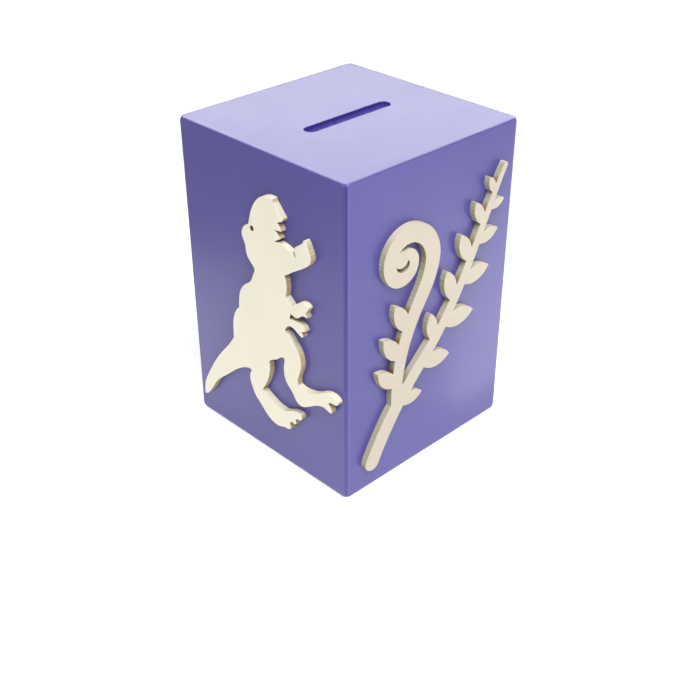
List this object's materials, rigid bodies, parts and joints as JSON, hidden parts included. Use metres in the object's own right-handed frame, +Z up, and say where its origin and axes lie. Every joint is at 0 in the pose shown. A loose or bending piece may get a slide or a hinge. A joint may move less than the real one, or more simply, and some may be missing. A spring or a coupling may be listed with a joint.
{
  "type": "wooden money box",
  "caption": "Upright square-plan wooden money box with a coin slot in the top, a thin applied dinosaur shape, a thin applied fern shape and a rubber stopper in the base.",
  "frame": {"origin": "centre of the whole object's footprint, on the surface it stands on", "axes": "+Z up; the front face, with the fern, looks along -Y; the left face, with the dinosaur, looks along -X; the coin slot runs along X"},
  "size_m": [0.1028, 0.1028, 0.147],
  "materials": {
    "painted_board": "satin lavender paint on fibreboard",
    "cream_ply": "eggshell cream paint on thin laser-cut plywood, edges left toasted",
    "bare_ply": "unpainted birch plywood",
    "stopper_rubber": "matt black moulded rubber",
    "brad_steel": "bright steel"
  },
  "bodies": {
    "box": {"front_wall": "painted_board", "back_wall": "painted_board", "left_wall": "painted_board", "right_wall": "painted_board", "top_panel": "painted_board", "base_panel": "bare_ply", "front_wall_brads": "brad_steel", "back_wall_brads": "brad_steel", "top_brads": "brad_steel", "dinosaur_cutout": "cream_ply", "fern_cutout": "cream_ply"},
    "stopper": {"stopper": "stopper_rubber"}
  },
  "joints": [
    {"name": "stopper_pull", "type": "slide", "parent": "box", "child": "stopper", "axis": [0, 0, -1], "range_m": [0, 0.03]}
  ]
}
